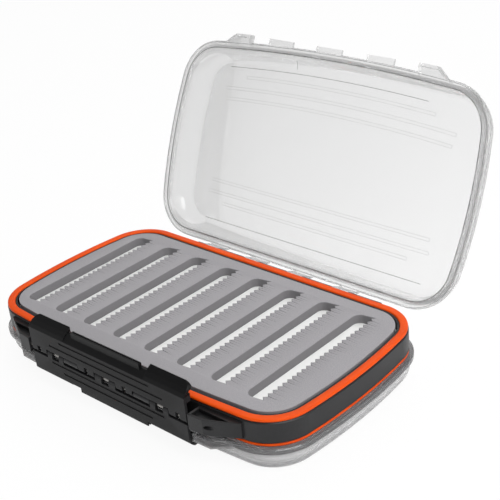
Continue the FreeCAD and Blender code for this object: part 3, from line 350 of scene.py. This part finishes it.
def closed_foam(name, colour, pore, mottle, depth, painted_wall_shade=1.0):
    """Closed-cell foam: fine pores, a faint mottling, and painted shade on the faces below its top skin,
    where the slot walls stand in shade.
    """
    material, tree, shader, where = new_material(name)
    pores = tree.noise(where, 0.45, 3.0, 0.65)
    cloud = tree.noise(where, 6.0, 2.0)
    base = tree.mix(tree.ramp(pores, 0.38, 0.62, 0.0, 1.0), shade(pore), shade(colour))
    base = tree.mix(tree.ramp(cloud, 0.35, 0.65, 0.0, mottle), base, shade([c * 0.93 for c in colour]))
    height = tree.add("ShaderNodeSeparateXYZ")
    tree.link(where, height.inputs[0])
    away = tree.math("ABSOLUTE", tree.math("SUBTRACT", height.outputs["Z"], MIDDLE * MM))
    # Painted shade: faces below the top skin, the slot walls among them, take a darker copy of the colour.
    below = tree.ramp(away, (FOAM_TOP - 0.4) * MM, (FOAM_TOP - 0.15) * MM, 1.0, 0.0)
    base = tree.mix(below, base, shade([c * painted_wall_shade for c in colour]))
    tree.link(base, shader.inputs["Base Color"])
    tree.link(tree.ramp(pores, 0.3, 0.7, 0.92, 0.8), shader.inputs["Roughness"])
    shader.inputs["Specular IOR Level"].default_value = 0.25
    tree.link(tree.bump(pores, 0.5, depth), shader.inputs["Normal"])
    return material


def drawn_steel(name):
    """Drawn steel wire with fine lines along it."""
    material, tree, shader, where = new_material(name)
    along = tree.add("ShaderNodeMapping")
    along.inputs["Scale"].default_value = (0.03, 1.0, 1.0)
    tree.link(where, along.inputs["Vector"])
    lines = tree.noise(along.outputs["Vector"], 0.12, 2.0)
    tree.link(tree.mix(lines, shade((120, 118, 115)), shade((176, 174, 171))), shader.inputs["Base Color"])
    shader.inputs["Metallic"].default_value = 1.0
    tree.link(tree.ramp(lines, 0.3, 0.7, 0.2, 0.38), shader.inputs["Roughness"])
    tree.link(tree.bump(lines, 0.2, 0.02), shader.inputs["Normal"])
    return material


# Outline curves

def arc_points(centre, radius, first, last, step):
    count = max(2, math.ceil(abs(last - first) * radius / step))
    return [(centre[0] + radius * math.cos(first + (last - first) * i / count),
             centre[1] + radius * math.sin(first + (last - first) * i / count)) for i in range(count)]


def outline(offset, step=1.2):
    """The box's outline moved outwards by an offset, counter-clockwise from the right front corner."""
    end_centre = (HALF_LENGTH - END_RADIUS, 0.0)
    front_centre = (0.0, FRONT_RADIUS - HALF_WIDTH)
    end_reach, front_reach = END_RADIUS - CORNER_RADIUS, FRONT_RADIUS - CORNER_RADIUS
    rear_y = HALF_WIDTH - CORNER_RADIUS
    rear = (end_centre[0] + math.sqrt(end_reach ** 2 - rear_y ** 2), rear_y)
    apart = math.dist(end_centre, front_centre)
    along = (end_reach ** 2 - front_reach ** 2 + apart ** 2) / (2 * apart)
    across = math.sqrt(end_reach ** 2 - along ** 2)
    direction = ((front_centre[0] - end_centre[0]) / apart, (front_centre[1] - end_centre[1]) / apart)
    front = (end_centre[0] + direction[0] * along + direction[1] * across,
             end_centre[1] + direction[1] * along - direction[0] * across)
    front_angle = math.atan2(front[1] - front_centre[1], front[0] - front_centre[0])
    end_low = math.atan2(front[1] - end_centre[1], front[0] - end_centre[0])
    end_high = math.atan2(rear[1] - end_centre[1], rear[0] - end_centre[0])
    corner = CORNER_RADIUS + offset
    right = arc_points(front, corner, front_angle, end_low, step)
    right += arc_points(end_centre, END_RADIUS + offset, end_low, end_high, step)
    right += arc_points(rear, corner, end_high, math.pi / 2, step)
    right.append((rear[0], HALF_WIDTH + offset))
    low = arc_points(front_centre, FRONT_RADIUS + offset, -math.pi / 2, front_angle, step)
    half = low + right
    return half + [(-x, y) for x, y in reversed(half[1:])]


def slot_outline(left):
    """One slot: rounded corners on its plain side, teeth along the other."""
    edge = HALF_WIDTH + PAD_EDGE
    front, rear = -edge + SLOT_FRONT, edge - SLOT_REAR
    valley = left + SLOT_WIDTH
    crest = valley + TOOTH_DEPTH
    pitch = (rear - front - SLOT_RISE) / TEETH
    points = []
    for step in range(2 * TEETH + 1):
        points.append((valley if step % 2 else crest, rear - step * pitch / 2))
    front_corner = (left + SLOT_CORNER, front + SLOT_CORNER)
    rear_corner = (left + SLOT_CORNER, rear - SLOT_RISE - SLOT_CORNER)
    quarter = math.pi / 2
    points += arc_points(front_corner, SLOT_CORNER, -quarter, -2 * quarter, 0.6)
    points.append((left, front_corner[1]))
    points += arc_points(rear_corner, SLOT_CORNER, 2 * quarter, quarter, 0.6)
    points.append((rear_corner[0], rear_corner[1] + SLOT_CORNER))
    return points


def slot_lefts():
    span = 2 * (HALF_LENGTH + PAD_EDGE) - SLOT_LEFT - SLOT_RIGHT - SLOT_WIDTH - TOOTH_DEPTH
    start = -HALF_LENGTH - PAD_EDGE + SLOT_LEFT
    return [start + index * span / (SLOT_COUNT - 1) for index in range(SLOT_COUNT)]


def sheet_mesh(name, outlines, low, high, edge):
    """A mesh, in mm, of a flat layer between two levels, its edges rounded. Inner outlines are holes."""
    curve = bpy.data.curves.new(name, "CURVE")
    curve.dimensions = "2D"
    curve.fill_mode = "BOTH"
    curve.extrude = (high - low) / 2 - edge
    curve.bevel_depth = edge
    curve.bevel_resolution = 2
    curve.offset = -edge
    for points in outlines:
        spline = curve.splines.new("POLY")
        spline.points.add(len(points) - 1)
        for point, (x, y) in zip(spline.points, points):
            point.co = (x, y, 0, 1)
        spline.use_cyclic_u = True
    thing = bpy.data.objects.new(name, curve)
    scene.collection.objects.link(thing)
    depsgraph = bpy.context.evaluated_depsgraph_get()
    mesh = bpy.data.meshes.new_from_object(thing.evaluated_get(depsgraph))
    bpy.data.objects.remove(thing)
    build = bmesh.new()
    build.from_mesh(mesh)
    bmesh.ops.remove_doubles(build, verts=build.verts, dist=1e-4)
    bmesh.ops.translate(build, verts=build.verts, vec=(0, 0, (low + high) / 2))
    build.to_mesh(mesh)
    build.free()
    return mesh


def slit_mesh(seed):
    """Thin wedges, in mm, that cut a short slit into the foam at each notch between two teeth."""
    draw = random.Random(seed)
    build = bmesh.new()
    edge = HALF_WIDTH + PAD_EDGE
    front, rear = -edge + SLOT_FRONT, edge - SLOT_REAR
    pitch = (rear - front - SLOT_RISE) / TEETH
    for left in slot_lefts():
        valley = left + SLOT_WIDTH
        for step in range(2, 2 * TEETH - 1):
            tooth = step % 2
            half_width = SLIT_AT_TOOTH if tooth else SLIT_AT_NOTCH
            y = rear - step * pitch / 2
            length = draw.uniform(*SLIT_LENGTHS) + TOOTH_DEPTH * tooth
            tilt = draw.uniform(*SLIT_TILTS)
            start = Vector((valley + TOOTH_DEPTH * (1 - tooth) - SLIT_OVERLAP, y, 0))
            end = start + Vector((length, length * tilt, 0))
            wide = half_width * draw.uniform(*SLIT_WIDTH_SHARES)
            top = [build.verts.new(start + Vector((0, side * wide, FOAM_TOP + SLIT_ABOVE)))
                   for side in (-1, 1)]
            tip = build.verts.new(end + Vector((0, 0, FOAM_TOP + SLIT_ABOVE)))
            foot = build.verts.new(start + Vector((0, 0, FOAM_TOP - SLIT_DEPTH)))
            build.faces.new((top[0], tip, top[1]))
            build.faces.new((top[0], foot, tip))
            build.faces.new((tip, foot, top[1]))
            build.faces.new((top[1], foot, top[0]))
    bmesh.ops.recalc_face_normals(build, faces=build.faces)
    mesh = bpy.data.meshes.new("slits")
    build.to_mesh(mesh)
    build.free()
    return mesh


def cut(mesh, cutter):
    """The first mesh without what the second covers."""
    target = bpy.data.objects.new("cut_target", mesh)
    tool = bpy.data.objects.new("cut_tool", cutter)
    scene.collection.objects.link(target)
    scene.collection.objects.link(tool)
    modifier = target.modifiers.new("cut", "BOOLEAN")
    modifier.operation = "DIFFERENCE"
    modifier.solver = "EXACT"
    modifier.object = tool
    depsgraph = bpy.context.evaluated_depsgraph_get()
    result = bpy.data.meshes.new_from_object(target.evaluated_get(depsgraph))
    bpy.data.objects.remove(target)
    bpy.data.objects.remove(tool)
    return result


def add_piece(name, mesh, material, body, slot, place, *nodes):
    """Puts a mesh that is drawn in mm about the middle plane in its place."""
    mesh.transform(Matrix.Scale(MM, 4) @ place)
    mesh.materials.clear()
    mesh.materials.append(material)
    piece = bpy.data.objects.new(name, mesh)
    scene.collection.objects.link(piece)
    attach(piece, body)
    if nodes:
        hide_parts(*nodes)
    return piece


def ribbon(build, points, half_width):
    """Adds a thin ribbon to a bmesh, along points that are about evenly apart."""
    across = []
    for index, point in enumerate(points):
        ahead = Vector(points[min(index + 1, len(points) - 1)]) - Vector(points[max(index - 1, 0)])
        side = ahead.cross(Vector((0, 0, 1))).normalized() * half_width
        low = Vector(point) + Vector((0, 0, -LINE_THICKNESS))
        across.append([build.verts.new(corner) for corner in (
            Vector(point) - side, Vector(point) + side, low + side, low - side)])
    for first, second in zip(across, across[1:]):
        for corner in range(4):
            follow = (corner + 1) % 4
            build.faces.new((first[corner], first[follow], second[follow], second[corner]))
    build.faces.new(across[0][::-1])
    build.faces.new(across[-1])


def front_row(offset, half_length, level, count=17):
    """Points along a line that keeps its distance from the bowed front."""
    radius = FRONT_RADIUS - offset
    points = []
    for i in range(count):
        x = half_length * (2 * i / (count - 1) - 1)
        points.append((x, FRONT_RADIUS - HALF_WIDTH - math.sqrt(radius ** 2 - x ** 2), level))
    return points


def rear_row(y, half_length, level, count=13):
    return [(half_length * (2 * i / (count - 1) - 1), y, level) for i in range(count)]


def lid_line_and_edge_shade_mesh():
    """Fine lines in mm on a lid: along the ceiling, a gate mark, and painted edge shade along the strips'
    edges and the rim's edges.
    """
    build = bmesh.new()
    rear_y = HALF_WIDTH - CEILING_ROUNDING + REAR_LINE_SHIFT
    ribbon(build, rear_row(rear_y, REAR_LINE_REACH, CEILING_LEVEL), CEILING_LINE)
    front = front_row(FRONT_LINE_INSET, FRONT_LINE_REACH, CEILING_LEVEL)[:FRONT_LINE_POINTS]
    ribbon(build, front, CEILING_LINE)
    start_y = -HALF_WIDTH + CEILING_ROUNDING - GATE_START
    gate = []
    for i in range(GATE_POINTS):
        beyond = GATE_STEP * i
        drop = CEILING_ROUNDING - math.sqrt(CEILING_ROUNDING ** 2 - beyond ** 2)
        gate.append((GATE_X, start_y - beyond, CEILING_LEVEL - drop))
    ribbon(build, gate, CEILING_LINE)
    for inset, reach in STRIPS_FRONT:
        for side in (-0.5, 0.5):
            row = front_row(inset * HALF_WIDTH + side * STRIP_WIDTH, reach * HALF_LENGTH, STRIP_LEVEL)
            ribbon(build, row, STRIP_LINE)
    for inset, reach in STRIPS_REAR:
        for side in (-0.5, 0.5):
            row = rear_row(HALF_WIDTH * (1 - inset) + side * STRIP_WIDTH, reach * HALF_LENGTH, STRIP_LEVEL)
            ribbon(build, row, STRIP_LINE)
    for offset, half_width in RIM_LINES:
        loop = [(x, y, RIM_LEVEL + RIM_LINE_DEPTH) for x, y in outline(offset, RIM_LINE_SPACING)]
        ribbon(build, loop + loop[:1], half_width)
    return finished(build, "lid_lines_and_edge_shade")


def block_highlight_mesh():
    """A painted highlight, in mm, along the edge that both blocks of a lid show on the side of the seal."""
    build = bmesh.new()
    for side in (-1, 1):
        corners = [(side * x, y, RIM_LEVEL + RIM_LINE_DEPTH) for x, y in BLOCK_EDGE]
        ribbon(build, corners, BLOCK_LINE)
    return finished(build, "block_highlights")


def finished(build, name):
    bmesh.ops.recalc_face_normals(build, faces=build.faces)
    mesh = bpy.data.meshes.new(name)
    build.to_mesh(mesh)
    build.free()
    return mesh


def smooth_by_angle(mesh, degrees):
    mesh.shade_smooth()
    mesh.set_sharp_from_angle(angle=math.radians(degrees))


# Dress the solids

body_plastic = moulded_plastic("body_plastic", (22, 22, 23), (58, 58, 60), 0.40, 0.33, 0.30, 0.35)
# The latch's hook gets painted shade: darker and glossier above 10.15 mm from the middle plane.
latch_plastic = moulded_plastic("latch_plastic", (19, 19, 20), (54, 54, 56), 0.48, 0.22, 0.26, 0.2,
                                painted_shade_band=(10.15, (11, 11, 12), 0.36))
upper_clear = clear_plastic("upper_clear_plastic", SWING_OPEN, painted_left_shade, 1.0, 0.42)
lower_clear = clear_plastic("lower_clear_plastic", TURN_OVER, painted_light_and_shade_bands, 0.72, 0.2)
# Grey lines for the lids, most of them painted edge shade.
lid_line_material = fine_line_plastic("fine_line_plastic", 150, 196)
# The blocks' edges get a painted highlight, nearly white.
painted_block_highlight = fine_line_plastic("painted_block_highlight_plastic", 238, 252)
seal_rubber = soft_rubber("seal_rubber", (226, 79, 8), (216, 71, 6))
# The grey pads' walls get painted shade at 0.76 of their colour.
grey_foam = closed_foam("grey_foam", (162, 160, 163), (142, 140, 143), 0.35, 0.10, 0.76)
white_foam = closed_foam("white_foam", (238, 238, 237), (228, 228, 227), 0.2, 0.06)
steel = drawn_steel("drawn_steel")

for node, material in {
    "centre_body": body_plastic, "upper_latch": latch_plastic, "lower_latch": latch_plastic,
    "upper_lid": upper_clear, "lower_lid": lower_clear, "hinge_pin": steel, "latch_pin": steel,
}.items():
    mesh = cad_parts[node].data
    mesh.materials.clear()
    mesh.materials.append(material)

# Pads and seals in both halves
slots = [slot_outline(left) for left in slot_lefts()]
for half, place, seed in (("upper", LIFT, 7), ("lower", TURN_OVER, 11)):
    sheet = sheet_mesh(f"{half}_slit_foam", [outline(PAD_EDGE - FOAM_GAP)] + slots,
                       FOAM_LEVEL, FOAM_TOP, FOAM_EDGE)
    sheet = cut(sheet, slit_mesh(seed))
    smooth_by_angle(sheet, 30)
    pad = add_piece(f"{half}_slit_foam", sheet, grey_foam, "centre_body", "grey_foam", place,
                    f"{half}_foam")
    layer = sheet_mesh(f"{half}_white_layer", [outline(PAD_EDGE)], BASE_LEVEL, FOAM_LEVEL, LAYER_EDGE)
    smooth_by_angle(layer, 30)
    base = add_piece(f"{half}_white_layer", layer, white_foam, "centre_body", "white_foam", place,
                     f"{half}_foam_base")
    ring = sheet_mesh(f"{half}_seal_ring", [outline(SEAL_HALF_WIDTH), outline(-SEAL_HALF_WIDTH)],
                      SEAT_LEVEL, RIM_LEVEL - SEAL_TOP_GAP, SEAL_EDGE)
    smooth_by_angle(ring, 50)
    add_piece(f"{half}_seal_ring", ring, seal_rubber, "centre_body", "orange_seal", place,
              f"{half}_seal")

# Fine lines on both lids, most of them painted edge shade, and the blocks' painted highlight
for half, place in (("upper", SWING_OPEN), ("lower", TURN_OVER)):
    add_piece(f"{half}_lid_mould_lines", lid_line_and_edge_shade_mesh(), lid_line_material, f"{half}_lid",
              "clear_plastic", place)
    add_piece(f"{half}_lid_block_edges", block_highlight_mesh(), painted_block_highlight, f"{half}_lid",
              "clear_plastic", place)

setup_camera()


# Floor, world and lights

def white_share(tree, straight, by_glass_or_mirror):
    """How white the floor is made for the lens, straight and by glass or mirror. For light it is 0."""
    path = tree.add("ShaderNodeLightPath")
    either = tree.math("MAXIMUM", path.outputs["Is Glossy Ray"], path.outputs["Is Transmission Ray"])
    return tree.math("MAXIMUM", tree.math("MULTIPLY", path.outputs["Is Camera Ray"], straight),
                     tree.math("MULTIPLY", either, by_glass_or_mirror))


def make_floor():
    build = bmesh.new()
    bmesh.ops.create_grid(build, x_segments=1, y_segments=1, size=FLOOR_HALF)
    mesh = bpy.data.meshes.new("floor")
    build.to_mesh(mesh)
    build.free()
    floor = bpy.data.objects.new("floor", mesh)
    scene.collection.objects.link(floor)
    material = bpy.data.materials.new("floor")
    material.use_nodes = True
    material.node_tree.nodes.clear()
    tree = Nodes(material.node_tree)
    diffuse = tree.add("ShaderNodeBsdfDiffuse")
    diffuse.inputs["Color"].default_value = (FLOOR_GREY, FLOOR_GREY, FLOOR_GREY, 1)
    glow = tree.add("ShaderNodeEmission")
    blend = tree.add("ShaderNodeMixShader")
    tree.link(white_share(tree, FLOOR_WHITE_STRAIGHT, FLOOR_WHITE_INDIRECT), blend.inputs[0])
    tree.link(diffuse.outputs[0], blend.inputs[1])
    tree.link(glow.outputs[0], blend.inputs[2])
    tree.link(blend.outputs[0], tree.add("ShaderNodeOutputMaterial").inputs["Surface"])
    mesh.materials.append(material)


def make_world():
    world = bpy.data.worlds.new("studio")
    scene.world = world
    world.use_nodes = True
    world.node_tree.nodes.clear()
    tree = Nodes(world.node_tree)
    height = tree.add("ShaderNodeSeparateXYZ")
    tree.link(tree.add("ShaderNodeTexCoord").outputs["Generated"], height.inputs[0])
    light = tree.add("ShaderNodeBackground")
    light.inputs["Strength"].default_value = WORLD_LIGHT
    mirrored = tree.add("ShaderNodeBackground")
    (low_height, low_strength), (high_height, high_strength) = WORLD_LOW, WORLD_HIGH
    strength = tree.ramp(height.outputs["Z"], low_height, high_height, low_strength, high_strength, True)
    tree.link(strength, mirrored.inputs["Strength"])
    white = tree.add("ShaderNodeBackground")
    white.inputs["Color"].default_value = (1, 1, 1, 1)
    path = tree.add("ShaderNodeLightPath")
    first = tree.add("ShaderNodeMixShader")
    tree.link(path.outputs["Is Glossy Ray"], first.inputs[0])
    tree.link(light.outputs[0], first.inputs[1])
    tree.link(mirrored.outputs[0], first.inputs[2])
    second = tree.add("ShaderNodeMixShader")
    through = tree.math("MAXIMUM", path.outputs["Is Camera Ray"], path.outputs["Is Transmission Ray"])
    tree.link(through, second.inputs[0])
    tree.link(first.outputs[0], second.inputs[1])
    tree.link(white.outputs[0], second.inputs[2])
    tree.link(second.outputs[0], tree.add("ShaderNodeOutputWorld").inputs["Surface"])


def area_light(name, azimuth, elevation, size, power):
    """A soft round lamp that looks at the box from an azimuth (0 is the front) and elevation."""
    data = bpy.data.lights.new(name, "AREA")
    data.shape = "DISK"
    data.size = size
    data.energy = power
    turn, rise = math.radians(azimuth), math.radians(elevation)
    place = Vector((math.sin(turn) * math.cos(rise), -math.cos(turn) * math.cos(rise), math.sin(rise)))
    place = place * LIGHT_DISTANCE + Vector((0, 0, AIM_HEIGHT))
    lamp = bpy.data.objects.new(name, data)
    turned = (place - Vector((0, 0, AIM_HEIGHT))).to_track_quat("Z", "Y").to_matrix().to_4x4()
    lamp.matrix_world = Matrix.Translation(place) @ turned
    scene.collection.objects.link(lamp)


make_floor()
make_world()
for light in LIGHTS:
    area_light(*light)
scene.view_settings.view_transform = "Standard"
